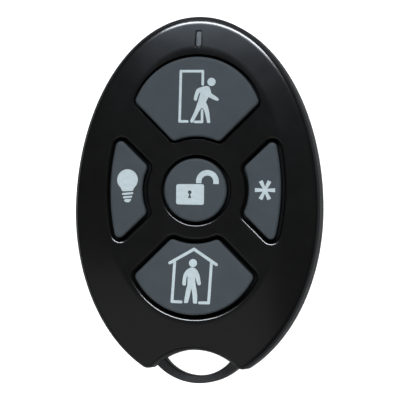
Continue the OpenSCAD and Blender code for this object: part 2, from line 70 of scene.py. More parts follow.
def add(material, kind, sockets=None, **settings):
    """Adds a node with its settings; a socket takes a value or the output that feeds it."""
    tree = material.node_tree
    made = tree.nodes.new("ShaderNode" + kind)
    for key, value in settings.items():
        setattr(made, key, value)
    for key, value in (sockets or {}).items():
        if isinstance(value, bpy.types.NodeSocket):
            tree.links.new(value, made.inputs[key])
        else:
            made.inputs[key].default_value = value
    return made.outputs


def new_material(name):
    """A material with an empty node tree."""
    material = bpy.data.materials.new(name)
    material.use_nodes = True
    material.node_tree.nodes.clear()
    return material


def grained(name, dark, light, rough, patch, grain, depth, **shader):
    """A surface whose colour and roughness wander in patches, with a raised grain of some size and depth."""
    material = new_material(name)
    place = add(material, "TexCoord")["Object"]
    wander = add(material, "TexNoise", {"Vector": place, "Scale": 1 / (patch * MM), "Detail": 3.0})["Fac"]
    colour = add(material, "ValToRGB", {"Fac": wander})
    ramp = colour["Color"].node.color_ramp
    ramp.elements[0].position = NOISE_LOW
    ramp.elements[0].color = linear(dark)
    ramp.elements[1].position = NOISE_HIGH
    ramp.elements[1].color = linear(light)
    gloss = add(material, "MapRange", {
        "Value": wander, "From Min": NOISE_LOW, "From Max": NOISE_HIGH,
        "To Min": rough[0], "To Max": rough[1],
    })["Result"]
    bumps = add(material, "TexNoise", {"Vector": place, "Scale": 1 / (grain * MM), "Detail": 2.0})["Fac"]
    relief = add(material, "Bump", {"Height": bumps, "Distance": depth * MM, "Strength": 1.0})["Normal"]
    surface = add(material, "BsdfPrincipled", {
        "Base Color": colour["Color"], "Roughness": gloss, "Normal": relief, **shader,
    })["BSDF"]
    add(material, "OutputMaterial", {"Surface": surface})
    return material


def dress(node, material):
    """Gives a CAD solid its material."""
    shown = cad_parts[node]
    shown.data.materials.clear()
    shown.data.materials.append(material)


# Spark-eroded ABS: a fine dull grain that scatters the light; the grit is 0.06 mm, drawn at 0.12 to show.
eroded_abs = grained(
    "eroded_grey_abs", "#232425", "#2a2b2c",
    rough=(0.55, 0.65), patch=3.0, grain=0.12, depth=0.006, **{"Specular IOR Level": 0.04},
)
dress("rear_cover", eroded_abs)


# Coin cell with its contacts: a drawn steel can and cap, a nylon seal, a strap clip and a spring disc.
# The cell lies in its cradle in the rear cover, with the clip round it, and is changed with the covers open.

# Nickel-plated steel: bright, with a faint satin from the drawing of the sheet.
nickel_plate = grained(
    "nickel_plated_steel", "#b9bbbc", "#cfd1d2",
    rough=(0.22, 0.34), patch=2.0, grain=0.2, depth=0.001, Metallic=1.0,
)
for node in ("cell_can", "cell_cap"):
    dress(node, nickel_plate)
dress("positive_clip", nickel_plate)
# Phosphor bronze strip: a warm metal, slightly dulled by handling.
bronze = grained(
    "phosphor_bronze", "#b79a5e", "#cdb478",
    rough=(0.28, 0.42), patch=1.5, grain=0.2, depth=0.001, Metallic=1.0,
)
dress("negative_contact", bronze)
# Nylon: dark, waxy and even.
dark_nylon = grained(
    "dark_nylon", "#26282b", "#303338",
    rough=(0.42, 0.5), patch=1.0, grain=0.1, depth=0.002, IOR=1.53,
)
dress("cell_seal", dark_nylon)


# Circuit board: epoxy glass laminate under green solder mask, with an etched loop antenna along its edge.
# It rests on ribs of the rear cover, and posts of the front cover press on it.

# Solder mask on glass cloth: a gloss green film through which the weave shows faintly. A thread of 0.5 mm is
# drawn as one radian of a wave, which makes the weave about three times as coarse as it is, to show.
THREAD = 0.5
WAVE_RADIANS = 20  # of a wave texture over one unit at scale 1
WEAVE_DEEP = 0.004
solder_mask = new_material("solder_mask_laminate")
place = add(solder_mask, "TexCoord")["Object"]
weave = [
    add(solder_mask, "TexWave", {
        "Vector": place, "Scale": 1 / (THREAD * MM) / WAVE_RADIANS, "Distortion": 0.2,
    }, bands_direction=way)["Fac"]
    for way in ("X", "Y")
]
cloth = add(solder_mask, "Math", {0: weave[0], 1: weave[1]}, operation="MULTIPLY")["Value"]
mask = add(solder_mask, "ValToRGB", {"Fac": cloth})
mask["Color"].node.color_ramp.elements[0].color = linear("#174a2c")
mask["Color"].node.color_ramp.elements[1].color = linear("#20603a")
film = add(solder_mask, "Bump", {"Height": cloth, "Distance": WEAVE_DEEP * MM, "Strength": 1.0})["Normal"]
laminate = add(solder_mask, "BsdfPrincipled", {
    "Base Color": mask["Color"], "Roughness": 0.28, "IOR": 1.52, "Normal": film,
})["BSDF"]
add(solder_mask, "OutputMaterial", {"Surface": laminate})
dress("circuit_board", solder_mask)
# Etched copper: a warm metal with slight tarnish in patches.
copper = grained(
    "etched_copper", "#a8642c", "#c2793a",
    rough=(0.3, 0.45), patch=1.2, grain=0.15, depth=0.001, Metallic=1.0,
)
dress("antenna_loop", copper)
# Epoxy moulding compound: black, matt, with a fine filler grain.
epoxy = grained(
    "epoxy_compound", "#1c1d1f", "#26272a",
    rough=(0.55, 0.68), patch=0.8, grain=0.08, depth=0.003, IOR=1.55,
)
dress("radio_chip", epoxy)
dress("chip_resistors", epoxy)
# Fired ceramic: tan, dense and slightly rough.
ceramic = grained(
    "capacitor_ceramic", "#96794f", "#ab8d62",
    rough=(0.45, 0.6), patch=0.4, grain=0.06, depth=0.002, IOR=1.6,
)
dress("chip_capacitors", ceramic)
dress("crystal", nickel_plate)
# Clear lamp resin over a phosphor: a pale yellow, soft gloss.
lamp_resin = grained(
    "lamp_resin", "#ded8bd", "#efe9d2",
    rough=(0.2, 0.3), patch=0.5, grain=0.1, depth=0.001, IOR=1.54,
)
dress("status_lamp", lamp_resin)


# Tact switches, one under each key: a moulded base, a snap dome, a plunger and a steel cover.
# They are soldered to the board, and each plunger moves with its key.

# Glass-filled liquid-crystal polymer: black, with short fibres that break the gloss.
fibre_polymer = grained(
    "fibre_filled_polymer", "#1a1b1d", "#242527",
    rough=(0.4, 0.55), patch=0.6, grain=0.08, depth=0.003, IOR=1.6,
)
dress("switch_bases", fibre_polymer)
# Stamped stainless steel: a cool metal with a light rolling grain.
stainless = grained(
    "stamped_stainless", "#a9acaf", "#bdc0c3",
    rough=(0.26, 0.38), patch=1.0, grain=0.15, depth=0.001, Metallic=1.0,
)
dress("switch_covers", stainless)
# Natural nylon: cream, waxy, with light scattered inside.
natural_nylon = grained(
    "natural_nylon", "#d2ccba", "#dfdac9",
    rough=(0.4, 0.5), patch=0.8, grain=0.1, depth=0.002, IOR=1.53,
)
for key in ("away", "stay", "disarm", "light", "star"):
    dress(key + "_dome", stainless)
    dress(key + "_plunger", natural_nylon)


# Keypad sheet: one compression-moulded web of black silicone rubber, in which the five keys sit.
# It hangs on the posts of the front cover, between the cover and the switches.

# Black silicone rubber: dull, with a soft powdery skin; its mould grain is 0.05 mm, drawn at 0.1 to show.
# The keys' lower columns, flanges and nibs use it too, as painted shade in the gaps round the keys.
web_silicone_and_gap_shade = grained(
    "web_silicone_and_gap_shade", "#0c0d0e", "#101112",
    rough=(0.6, 0.72), patch=2.0, grain=0.1, depth=0.004, **{"IOR": 1.41, "Specular IOR Level": 0.1},
)
dress("keypad_sheet", web_silicone_and_gap_shade)


# Front cover: moulded in gloss black ABS. The egg-shaped dome is cut by a flat field that carries the keys,
# with a soft crease between them. The mould is polished, so the face shines, slightly dulled by handling.

# Heights run from the back of the fob, and the egg is widest at WIDEST_Y.
HALF_W = 21.75
TOP_REACH = 34.1
LOW_REACH = 30.5
WIDEST_Y = -1.8
WALL = 1.6
PART_Z = 6.1
CEIL_Z = 10.2
FACE_Z = 11.7
FIELD_HALF = 16.0
FIELD_TILT = math.tan(math.radians(0.8))
DOME_H = 2.6
DOME_R = (HALF_W ** 2 + DOME_H ** 2) / (2 * DOME_H)
DOME_C = FACE_Z - math.sqrt(DOME_R ** 2 - FIELD_HALF ** 2)
CREASE = 0.07
EDGE_R = 1.2
SEAM_BEVEL = 0.25
LIP_H = 1.1
HOLLOW_C = np.array([0.0, -36.9])
HOLLOW_R = 10.6
LOBE_R = 1.7
LEAST_LOBE_R = 0.1
EGG_POINTS, LOBE_STEPS, HOLLOW_STEPS = 225, 12, 28
HALVINGS = 40  # of a range that is searched for a crossing
MIDDLE = np.array([0.0, WIDEST_Y])


def arc(centre, radius, start, end, n):
    """Points on an arc, angles in degrees, both ends included."""
    a = np.radians(np.linspace(start, end, n + 1))
    return np.asarray(centre) + radius * np.column_stack([np.cos(a), np.sin(a)])


def egg(angles, inset):
    """Points of the egg outline of the body, moved inwards."""
    a = np.radians(angles)
    reach = np.where(np.sin(a) > 0, TOP_REACH, LOW_REACH) - inset
    return np.column_stack([(HALF_W - inset) * np.cos(a), WIDEST_Y + reach * np.sin(a)])


def outline(inset=0.0):
    """Plan of the cover: egg, left lobe, hollow, right lobe; every ring has the same count of points."""
    lobe_r = max(LOBE_R - inset, LEAST_LOBE_R)
    low, high = -90.0, -45.0  # range of the turn, in degrees, at which the lobe leaves the egg
    for _ in range(HALVINGS):
        turn = (low + high) / 2
        a = math.radians(turn)
        inward = -np.array([math.cos(a) / (HALF_W - inset), math.sin(a) / (LOW_REACH - inset)])
        inward /= np.linalg.norm(inward)
        lobe = egg([turn], inset)[0] + lobe_r * inward
        if np.linalg.norm(lobe - HOLLOW_C) < HOLLOW_R + inset + lobe_r:
            low = turn
        else:
            high = turn
    to_egg = math.degrees(math.atan2(-inward[1], -inward[0]))
    to_hollow = math.degrees(math.atan2(*(HOLLOW_C - lobe)[::-1]))
    mirrored = lobe * [-1, 1]
    return np.vstack([
        egg(np.linspace(turn, 180 - turn, EGG_POINTS), inset)[:-1],
        arc(mirrored, lobe_r, 180 - to_egg, 180 - to_hollow, LOBE_STEPS)[:-1],
        arc(HOLLOW_C, HOLLOW_R + inset, -to_hollow, 180 + to_hollow, HOLLOW_STEPS)[:-1],
        arc(lobe, lobe_r, to_hollow, to_egg, LOBE_STEPS)[:-1],
    ])


def field_height(y):
    """Height of the tilted key field."""
    return FACE_Z - (y - WIDEST_Y) * FIELD_TILT


def dome_height(x, y):
    """Height of the dome, a sphere stretched along the egg."""
    reach = np.where(y > WIDEST_Y, TOP_REACH, LOW_REACH)
    return DOME_C + np.sqrt(DOME_R ** 2 - x ** 2 - ((y - WIDEST_Y) * HALF_W / reach) ** 2)


def face_height(plan):
    """Height of the face: the lower of dome and field, with the crease rounded off."""
    dome = dome_height(plan[:, 0], plan[:, 1])
    field = field_height(plan[:, 1])
    blend = np.clip(CREASE - np.abs(dome - field), 0, None) ** 2 / (4 * CREASE)
    return np.minimum(dome, field) - blend


def face_normal(plan):
    """Unit normals of the face, from its slopes over a small step."""
    step = 0.02
    slope = [
        (face_height(plan + way) - face_height(plan - way)) / (2 * step)
        for way in (np.array([step, 0]), np.array([0, step]))
    ]
    normal = np.column_stack([-slope[0], -slope[1], np.ones(len(plan))])
    return normal / np.linalg.norm(normal, axis=1)[:, None]


KEY_C = np.array([0.0, 1.7])
KEY_GAP = 0.5
DISARM_R = 5.55
INNER_R = 9.4
CORNER_OUT = 0.9
CORNER_IN = 1.0
CIRCLE_STEPS, CORNER_STEPS, OUTER_STEPS, INNER_STEPS = 128, 10, 48, 40
# Outer keys: axis angle, reach, outer arc radius, half angle, apex of the sides
KEY_FORMS = {
    "away": (90, 23.4, 11.6, 45.0, 4.4),
    "stay": (270, 21.9, 11.6, 45.0, 4.4),
    "light": (180, 15.1, 36.0, 44.2, 4.3),
    "star": (0, 15.1, 36.0, 44.2, 4.3),
}


def key_outline(key, grow):
    """Plan of a key, grown by a distance."""
    if key == "disarm":
        return arc(KEY_C, DISARM_R + grow, 0, 360, CIRCLE_STEPS)[:-1]
    axis, reach, arc_r, half, apex = KEY_FORMS[key]
    h = math.radians(half)
    side = np.array([math.sin(h), math.cos(h)])
    inward = np.array([-math.cos(h), math.sin(h)])

    def along(start, centre, r):
        """Where a line from a start along the key's side meets a circle."""
        q = start - centre
        m = q @ side
        return start + side * (math.sqrt(m * m - q @ q + r * r) - m)

    arc_c = np.array([0.0, reach - arc_r])
    out_c = along(np.array([0, apex]) + CORNER_OUT * inward, arc_c, arc_r - CORNER_OUT)
    in_c = along(np.array([0, apex]) + CORNER_IN * inward, np.zeros(2), INNER_R + CORNER_IN)
    a_out = math.degrees(math.atan2(*(out_c - arc_c)[::-1]))
    a_in = math.degrees(math.atan2(*in_c[::-1]))
    right = np.vstack([
        arc(in_c, CORNER_IN + grow, a_in - 180, -half, CORNER_STEPS),
        arc(out_c, CORNER_OUT + grow, -half, a_out, CORNER_STEPS),
    ])
    upright = np.vstack([
        right,
        arc(arc_c, arc_r + grow, a_out, 180 - a_out, OUTER_STEPS)[1:-1],
        right[::-1] * [-1, 1],
        arc([0, 0], INNER_R - grow, 180 - a_in, a_in, INNER_STEPS)[1:-1],
    ])
    t = math.radians(axis - 90)
    return KEY_C + upright @ np.array([[math.cos(t), math.sin(t)], [-math.sin(t), math.cos(t)]])


WINDOW_W = 1.1
WINDOW_L = 3.0
WINDOW_Y = 28.3
WINDOW_CORNER, WINDOW_STEPS = 0.12, 4


def window_outline(grow):
    """Plan of the lamp window, a slot with small round corners."""
    r = WINDOW_CORNER + grow
    x, y = WINDOW_W / 2 - WINDOW_CORNER, WINDOW_L / 2 - WINDOW_CORNER
    corners = [((x, y), 0), ((-x, y), 90), ((-x, -y), 180), ((x, -y), 270)]
    return np.vstack([arc([cx, WINDOW_Y + cy], r, a, a + 90, WINDOW_STEPS) for (cx, cy), a in corners])


def ring(points, plan, z):
    """Adds a ring of plan points at a height and returns its indices."""
    first = len(points)
    points.extend(np.column_stack([plan, np.broadcast_to(z, len(plan))]).tolist())
    return list(range(first, len(points)))


def band(a, b):
    """Quads between two rings."""
    n = len(a)
    return [(a[i], a[(i + 1) % n], b[(i + 1) % n], b[i]) for i in range(n)]


def inside(spots, loop):
    """Which spots lie inside a closed loop on the plan."""
    tiny = 1e-12  # in place of a rise of nothing
    a, b = loop, np.roll(loop, -1, axis=0)
    x, y = spots[:, :1], spots[:, 1:2]
    rise = np.where(b[:, 1] == a[:, 1], tiny, b[:, 1] - a[:, 1])
    crossed = ((a[:, 1] > y) != (b[:, 1] > y)) & (x < a[:, 0] + (y - a[:, 1]) * (b[:, 0] - a[:, 0]) / rise)
    return crossed.sum(axis=1) % 2 == 1


WELD = 1e-7  # points that lie closer are one


def sheet(points, outer, holes, inner=()):
    """Triangles that fill the plan between an outer ring and holes, through the inner points."""
    loops = [outer, *holes]
    used = [i for loop in loops for i in loop] + list(inner)
    edges, first = [], 0
    for loop in loops:
        edges += [(first + k, first + (k + 1) % len(loop)) for k in range(len(loop))]
        first += len(loop)
    made = geometry.delaunay_2d_cdt([Vector(points[i][:2]) for i in used], edges, [], 0, WELD)
    triangles = [[used[made[3][v][0]] for v in face] for face in made[2]]
    spot = np.array(points)[:, :2]
    centres = spot[np.array(triangles)].mean(axis=1)
    keep = inside(centres, spot[outer])
    for hole in holes:
        keep &= ~inside(centres, spot[hole])
    return [tuple(t) for t, kept in zip(triangles, keep) if kept]


def lathe(points, faces, centre, profile, n=32):
    """Adds a turned shell; the profile runs from axis to axis as (radius, height)."""
    rings = []
    for r, z in profile:
        plan = arc(centre, r, 0, 360, n)[:-1] if r else np.array([centre])
        rings.append(ring(points, plan, z))
    for a, b in zip(rings, rings[1:]):
        if len(a) == 1 or len(b) == 1:
            tip, rim = (a[0], b) if len(a) == 1 else (b[0], a)
            faces.extend((tip, rim[i], rim[(i + 1) % n]) for i in range(n))
        else:
            faces.extend(band(a, b))


SHARP = math.radians(38)  # edges that turn more than this stay sharp


def piece(name, points, faces, materials, body, stands_for=(), normals=None, split=None):
    """Makes a mesh piece that rides on a CAD body; faces from split on take the second material."""
    mesh = bpy.data.meshes.new(name)
    mesh.from_pydata([[c * MM for c in p] for p in points], [], faces)
    shell = bmesh.new()
    shell.from_mesh(mesh)
    bmesh.ops.recalc_face_normals(shell, faces=shell.faces)
    shell.to_mesh(mesh)
    shell.free()
    mesh.shade_smooth()
    mesh.set_sharp_from_angle(angle=SHARP)
    if normals:
        corners = [corner.vector[:] for corner in mesh.corner_normals]
        for i, loop in enumerate(mesh.loops):
            corners[i] = normals.get(loop.vertex_index, corners[i])
        mesh.normals_split_custom_set(corners)
    for material in materials:
        mesh.materials.append(material)
    if split:
        for face in mesh.polygons[split:]:
            face.material_index = 1
    made = bpy.data.objects.new(name, mesh)
    bpy.context.scene.collection.objects.link(made)
    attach(made, body)
    if stands_for:
        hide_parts(*stands_for)


# Polished ABS: a deep black under a soft gloss, with the slow waviness of a thick moulding
# and a trace of fine dust and handling marks in the gloss.
MARK_SIZE = 6
WAVE_SIZE, WAVE_DEEP = 9, 0.004
gloss_abs = new_material("polished_black_abs")
place = add(gloss_abs, "TexCoord")["Object"]
marks = add(gloss_abs, "TexNoise", {
    "Vector": place, "Scale": 1 / (MARK_SIZE * MM), "Detail": 5.0, "Roughness": 0.65,
})["Fac"]
shade = add(gloss_abs, "ValToRGB", {"Fac": marks})
shade["Color"].node.color_ramp.elements[0].color = linear("#040404")
shade["Color"].node.color_ramp.elements[1].color = linear("#080808")
gloss = add(gloss_abs, "MapRange", {
    "Value": marks, "From Min": NOISE_LOW, "From Max": NOISE_HIGH, "To Min": 0.18, "To Max": 0.21,
})["Result"]
slow = add(gloss_abs, "TexNoise", {"Vector": place, "Scale": 1 / (WAVE_SIZE * MM), "Detail": 1.0})["Fac"]
wave = add(gloss_abs, "Bump", {"Height": slow, "Distance": WAVE_DEEP * MM, "Strength": 1.0})["Normal"]
polished = add(gloss_abs, "BsdfPrincipled", {
    "Base Color": shade["Color"], "Roughness": gloss, "IOR": 1.53, "Normal": wave,
})["BSDF"]
add(gloss_abs, "OutputMaterial", {"Surface": polished})

# Eroded ABS: the side and the inside of the cover keep the dull grain of the mould and hardly shine.
eroded_black_abs = grained(
    "eroded_black_abs", "#18191a", "#1d1e1f",
    rough=(0.6, 0.7), patch=3.0, grain=0.12, depth=0.006, **{"Specular IOR Level": 0.03},
)

points, faces, normals = [], [], {}
# Spokes run from the middle to the outline; a share of each gives a smaller egg.
plan = outline()
spokes = plan - MIDDLE
LEAST_SHARE = 0.2


def crossing(level):
    """Share of each spoke at which the dome stands a level above the field."""
    low, high = np.full(len(plan), LEAST_SHARE), np.ones(len(plan))
    for _ in range(HALVINGS):
        share = (low + high) / 2
        spot = MIDDLE + share[:, None] * spokes
        above = dome_height(spot[:, 0], spot[:, 1]) - field_height(spot[:, 1]) > level
        low, high = np.where(above, share, low), np.where(above, high, share)
    return low


# The rounded edge leaves the dome smoothly at the rim and ends upright at the side.
edge_x = HALF_W - EDGE_R
edge_start = math.degrees(math.asin(edge_x / (DOME_R - EDGE_R)))
rim_share = edge_x * DOME_R / (DOME_R - EDGE_R) / HALF_W
rim_plan = MIDDLE + rim_share * spokes
rim_z = face_height(rim_plan)
rim = ring(points, rim_plan, rim_z)
inner_share, outer_share = crossing(CREASE), crossing(-CREASE)
DOME_RINGS, CREASE_RINGS = (0.33, 0.67), np.linspace(0, 1, 8)
shares = [rim_share + (outer_share - rim_share) * u for u in DOME_RINGS]
shares += [outer_share + (inner_share - outer_share) * u for u in CREASE_RINGS]

# Rounding of the edge of each hole. A wide one catches a line of light.
WINDOW_RIM = 0.04
HOLE_RIM = {"away": 0.03, "stay": 0.65, "disarm": 0.36, "light": 0.6, "star": 0.65}
HOLE_STEPS = 6
RIM_CLEAR = 0.12  # keeps the loose points of the face off the holes
hole_rims, ceiling_holes = [], []
openings = [
    (lambda grow, key=key: key_outline(key, KEY_GAP + grow), HOLE_RIM[key])
    for key in (*KEY_FORMS, "disarm")
]
openings.append((window_outline, WINDOW_RIM))
loose = np.vstack([MIDDLE + share[:, None] * spokes for share in shares])
for shape, radius in openings:
    loose = loose[~inside(loose, shape(radius + RIM_CLEAR))]
    walls = []
    for a in np.radians(np.linspace(0, 90, HOLE_STEPS)):
        loop = shape(radius * (1 - math.sin(a)))
        walls.append(ring(points, loop, face_height(loop) - radius * (1 - math.cos(a))))
    walls.append(ring(points, shape(0), CEIL_Z))
    for a, b in zip(walls, walls[1:]):
        faces += band(a, b)
    hole_rims.append(walls[0])
    ceiling_holes.append(walls[-1])
first = len(points)
points.extend(np.column_stack([loose, face_height(loose)]).tolist())
faces += sheet(points, rim, hole_rims, range(first, len(points)))
on_face = [*rim, *(i for loop in hole_rims for i in loop), *range(first, len(points))]
normals.update(zip(on_face, face_normal(np.array(points)[on_face, :2]).tolist()))

EDGE_STEPS = 13
GLOSS_BANDS = 5  # of the rounded edge that are polished; the rest of the edge is matt
CEIL_BEVEL_H, CEIL_BEVEL_W = 0.6, 0.3
skin = [rim]
for a in np.radians(np.linspace(edge_start, 90, EDGE_STEPS)[1:]):
    share = (edge_x + EDGE_R * math.sin(a)) / HALF_W
    drop = EDGE_R * (math.cos(math.radians(edge_start)) - math.cos(a))
    skin.append(ring(points, MIDDLE + share * spokes, rim_z - drop))
skin.append(ring(points, plan, PART_Z + SEAM_BEVEL))
skin.append(ring(points, MIDDLE + (1 - SEAM_BEVEL / HALF_W) * spokes, PART_Z))
skin.append(ring(points, outline(WALL / 2), PART_Z))
skin.append(ring(points, outline(WALL / 2), PART_Z + LIP_H))
skin.append(ring(points, outline(WALL), PART_Z + LIP_H))
skin.append(ring(points, outline(WALL), CEIL_Z - CEIL_BEVEL_H))
skin.append(ring(points, outline(WALL + CEIL_BEVEL_W), CEIL_Z))
for a, b in zip(skin[:GLOSS_BANDS], skin[1:GLOSS_BANDS + 1]):
    faces += band(a, b)
split = len(faces)
for a, b in zip(skin[GLOSS_BANDS:], skin[GLOSS_BANDS + 1:]):
    faces += band(a, b)
faces += sheet(points, skin[-1], ceiling_holes)
# Posts that press on the board, and bosses that take the screws. Both run into the ceiling up to ROOT_Z.
BOARD_TOP = 6.6
ROOT_Z = CEIL_Z + 0.2
POST_REACH, POST_R = 8.06, 0.8
for x in (-POST_REACH, POST_REACH):
    for y in (KEY_C[1] - POST_REACH, KEY_C[1] + POST_REACH):
        lathe(points, faces, [x, y], [(0, BOARD_TOP), (POST_R, BOARD_TOP), (POST_R, ROOT_Z), (0, ROOT_Z)])
SCREW_X, SCREW_Y = 11.5, -22.3
BOSS_R, BORE_R, BORE_END = 2.1, 1.0, CEIL_Z - 0.4
for x in (-SCREW_X, SCREW_X):
    lathe(points, faces, [x, SCREW_Y], [
        (0, BORE_END), (BORE_R, BORE_END), (BORE_R, PART_Z), (BOSS_R, PART_Z), (BOSS_R, ROOT_Z), (0, ROOT_Z),
    ])
piece(
    "front_cover_shell", points, faces, [gloss_abs, eroded_black_abs], "fob",
    ["front_cover"], normals, split,
)


# Light pipe: a moulded bar of acrylic that leads the lamp's light to the face. Its top stands a little below
# the dome and is frosted. A flange holds it under the front cover.

PIPE_HALF = 0.45
PIPE_LOW, PIPE_HIGH = 26.9, 29.7
STEM_LOW = 27.4
PIPE_SINK = 0.3
PIPE_SEAT, PIPE_FLANGE, PIPE_FLANGE_T = 9.75, 0.5, 0.6
FLANGE_LOW = PIPE_SEAT - PIPE_FLANGE_T
LAMP_TOP = 7.5
PIPE_CORNER, PIPE_FLAT, PIPE_STEPS = 0.1, 0.05, 6
PIPE_EDGE = ((0.08, 0.0), (0.02, 0.03), (0.0, 0.1))  # rounding of the top edge: inset and drop
# Frosted acrylic: a dim grey with a soft gloss, because the lamp below it is off.
frosted_acrylic = grained(
    "frosted_acrylic", "#363b3e", "#404548",
    rough=(0.5, 0.6), patch=0.8, grain=0.08, depth=0.002, **{"IOR": 1.49, "Specular IOR Level": 0.22},
)


def pipe_outline(low, half, inset=0.0):
    """Plan of the pipe: square at the top end, round at the low end."""
    low_r, top_r = half - PIPE_FLAT - inset, PIPE_CORNER
    x, low, high = half - inset, low + inset, PIPE_HIGH - inset
    corners = [
        ((x - top_r, high - top_r), top_r, 0), ((top_r - x, high - top_r), top_r, 90),
        ((low_r - x, low + low_r), low_r, 180), ((x - low_r, low + low_r), low_r, 270),
    ]
    return np.vstack([arc([cx, cy], r, a, a + 90, PIPE_STEPS) for (cx, cy), r, a in corners])


points, faces, skin = [], [], []
for inset, drop in PIPE_EDGE:
    loop = pipe_outline(PIPE_LOW, PIPE_HALF, inset)
    skin.append(ring(points, loop, face_height(loop) - PIPE_SINK - drop))
for low, half, z in (
    (PIPE_LOW, PIPE_HALF, CEIL_Z), (STEM_LOW, PIPE_HALF, CEIL_Z), (STEM_LOW, PIPE_HALF, PIPE_SEAT),
    (STEM_LOW, PIPE_HALF + PIPE_FLANGE, PIPE_SEAT), (STEM_LOW, PIPE_HALF + PIPE_FLANGE, FLANGE_LOW),
    (STEM_LOW, PIPE_HALF, FLANGE_LOW), (STEM_LOW, PIPE_HALF, LAMP_TOP),
):
    skin.append(ring(points, pipe_outline(low, half), z))
for a, b in zip(skin, skin[1:]):
    faces += band(a, b)
faces += [tuple(skin[0]), tuple(skin[-1])]
piece("light_pipe_bar", points, faces, [frosted_acrylic], "fob", ["light_pipe"])


# Case screws: two pan-head screws with a cross recess, headed from steel wire and zinc plated.
# They go in from the back, and their rolled thread holds in the bosses of the front cover.

HEAD_LOW, HEAD_SEAT, HEAD_R = 0.9, 2.2, 1.7
HEAD_FORM = ((1.1, 0.0), (1.4, 0.08), (1.6, 0.26), (HEAD_R, 0.6))  # radius, and height over HEAD_LOW
CORE_R, THREAD_R, PITCH = 0.76, 0.99, 0.8
SCREW_TIP, TIP_R = 9.6, 0.35
NECK = 0.05
THREAD_START, THREAD_END = HEAD_SEAT + 0.1, SCREW_TIP - 0.35
THREAD_FADE, THREAD_STEEP = 1.2, 2.2
SCREW_STEPS, RINGS_A_TURN = 48, 8
CROSS_LONG, CROSS_HALF, CROSS_DEEP, CROSS_FLOOR = 0.95, 0.2, 0.7, 0.55
# Zinc plate: a cool bright metal with a faint cloudy film.
zinc_plate = grained(
    "zinc_plated_steel", "#9da0a3", "#b4b7ba",
    rough=(0.25, 0.4), patch=0.8, grain=0.12, depth=0.001, Metallic=1.0,
)


def cross(centre, scale):
    """Plan of a cross recess."""
    a, b = CROSS_LONG * scale, CROSS_HALF * scale
    corners = [
        (a, b), (b, b), (b, a), (-b, a), (-b, b), (-a, b),
        (-a, -b), (-b, -b), (-b, -a), (b, -a), (b, -b), (a, -b),
    ]
    return np.asarray(centre) + np.array(corners)


points, faces = [], []
for x in (-SCREW_X, SCREW_X):
    spot = np.array([x, SCREW_Y])
    crown = [
        ring(points, cross(spot, scale), HEAD_LOW + deep)
        for scale, deep in ((1.0, 0.0), (CROSS_FLOOR, CROSS_DEEP))
    ]
    faces += band(*crown) + [tuple(crown[1])]
    skin = [ring(points, arc(spot, r, 0, 360, SCREW_STEPS)[:-1], z) for r, z in (
        *((r, HEAD_LOW + rise) for r, rise in HEAD_FORM),
        (HEAD_R, HEAD_SEAT), (THREAD_R, HEAD_SEAT), (CORE_R, HEAD_SEAT + NECK),
    )]
    faces += sheet(points, skin[0], [crown[0]])
    turn = np.arange(SCREW_STEPS) / SCREW_STEPS
    a = 2 * np.pi * turn
    for z in np.arange(THREAD_START, THREAD_END, PITCH / RINGS_A_TURN):
        tooth = np.abs((z / PITCH - turn) % 1 - 0.5) * 2
        crest = np.clip(1 - THREAD_STEEP * (1 - tooth), 0, 1) * min(1, (SCREW_TIP - z) / THREAD_FADE)
        r = CORE_R + (THREAD_R - CORE_R) * crest
        skin.append(ring(points, spot + r[:, None] * np.column_stack([np.cos(a), np.sin(a)]), z))
    skin.append(ring(points, arc(spot, TIP_R, 0, 360, SCREW_STEPS)[:-1], SCREW_TIP))
    for a, b in zip(skin, skin[1:]):
        faces += band(a, b)
    faces.append(tuple(skin[-1]))
piece("case_screw_pair", points, faces, [zinc_plate], "fob", ["case_screws"])


# Keys: five silicone rubber keys, each a column with a rounded top edge and a flange under the cover.
# Their tops are grey; the column below the rounded edge, the flange and the nib take the dark web rubber as
# painted shade, so the gap round each key reads black. A nib below each one presses its switch.

KEY_PROUD = 0.9
KEY_ROUND = 0.45
FLANGE = 0.9
SHEET_Z = 9.3
SHEET_TOP = 10.1
PLUNGER_TOP = 9.05
NIB_R = 1.5
NIB_ROOT = SHEET_Z + 0.1
ROUND_STEPS = 9
# Sprayed silicone paint: a dull blue grey with a soft sheen; its fine grain is 0.05 mm, drawn at 0.1 to show.
key_silicone = grained(
    "key_silicone", "#272c2f", "#2b3033",
    rough=(0.55, 0.65), patch=2.5, grain=0.1, depth=0.004, **{"Specular IOR Level": 0.15},
)
NIB_SPOTS = {
    "away": (0, 18.1), "stay": (0, -13.95), "light": (-12.25, 1.7), "star": (12.25, 1.7), "disarm": (0, 1.7),
}
for key, nib in NIB_SPOTS.items():
    points, faces = [], []
    column = [
        ring(points, key_outline(key, grow), z)
        for grow, z in ((FLANGE, SHEET_Z), (FLANGE, SHEET_TOP), (0, SHEET_TOP))
    ]
    top = []
    for a in np.radians(np.linspace(0, 90, ROUND_STEPS)):
        loop = key_outline(key, KEY_ROUND * (math.cos(a) - 1))
        top.append(ring(points, loop, field_height(loop[:, 1]) + KEY_PROUD - KEY_ROUND * (1 - math.sin(a))))
    for a, b in zip(top, top[1:]):
        faces += band(a, b)
    faces.append(tuple(top[-1]))
    # From here on the faces take the dark web rubber: painted shade in the gap round the key.
    split = len(faces)
    for a, b in zip(column, [*column[1:], top[0]]):
        faces += band(a, b)
    faces.append(tuple(column[0]))
    lathe(points, faces, nib, [(0, PLUNGER_TOP), (NIB_R, PLUNGER_TOP), (NIB_R, NIB_ROOT), (0, NIB_ROOT)])
    piece(
        key + "_key_cap", points, faces, [key_silicone, web_silicone_and_gap_shade], key + "_button",
        [key + "_key"], None, split,
    )


# Signs: one on each key, pad printed in pale ink: a person who leaves by a door, a person in a house,
# an open padlock, a bulb and a star. The ink is a film of 0.01 mm, drawn at 0.02 to stand clear of the paint.

INK_T = 0.02
INK_WELD = 1e-6  # points of a sign that lie closer are one
END_STEPS, CURVE_STEPS, HEAD_STEPS = 10, 6, 40
MOST_OF_SIDE = 0.48  # that the rounding of a corner may use up
